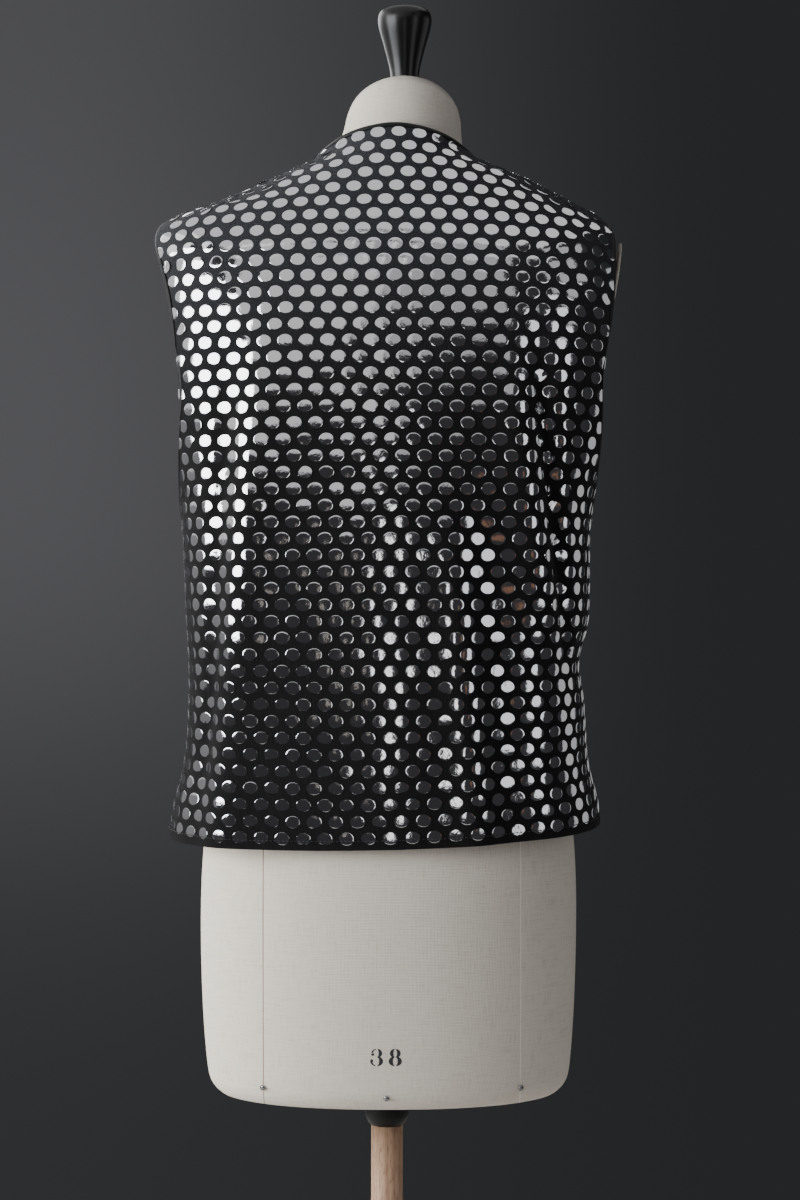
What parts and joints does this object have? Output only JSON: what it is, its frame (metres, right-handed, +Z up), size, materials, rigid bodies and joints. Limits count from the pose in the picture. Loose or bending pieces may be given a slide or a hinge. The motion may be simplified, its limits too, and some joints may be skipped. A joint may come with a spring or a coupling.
{
  "type": "waistcoat on a dress form",
  "caption": "Boxy sleeveless waistcoat of black knit covered in silver foil discs, bound at neck and armholes, on a canvas dress form with a turned knob, pole and round base.",
  "frame": {"origin": "middle of the stand's flat underside, on the floor", "axes": "+Z up, +Y the way the waistcoat's fronts face, +X to the right as seen from behind the waistcoat"},
  "size_m": [0.4198, 0.38, 1.5595],
  "materials": {
    "foil_disc_knit": "dull black knit covered in silver foil discs",
    "satin_binding": "black satin bias binding",
    "linen_canvas": "cream linen canvas",
    "black_lacquer": "glossy black lacquer on turned wood",
    "steel_nail": "domed steel nail head",
    "black_socket": "satin black",
    "beech": "pale beech, clear matt varnish"
  },
  "bodies": {
    "root": {"waistcoat_back": "foil_disc_knit", "waistcoat_front_left": "foil_disc_knit", "waistcoat_front_right": "foil_disc_knit", "neck_binding": "satin_binding", "front_binding_left": "satin_binding", "front_binding_right": "satin_binding", "armhole_binding_left": "satin_binding", "armhole_binding_right": "satin_binding", "form_bust": "linen_canvas", "arm_plate_left": "linen_canvas", "arm_plate_right": "linen_canvas", "neck_knob": "black_lacquer", "bottom_nail_1": "steel_nail", "bottom_nail_2": "steel_nail", "bottom_nail_3": "steel_nail", "form_socket": "black_socket", "stand_pole": "beech", "stand_base": "beech"}
  },
  "joints": []
}
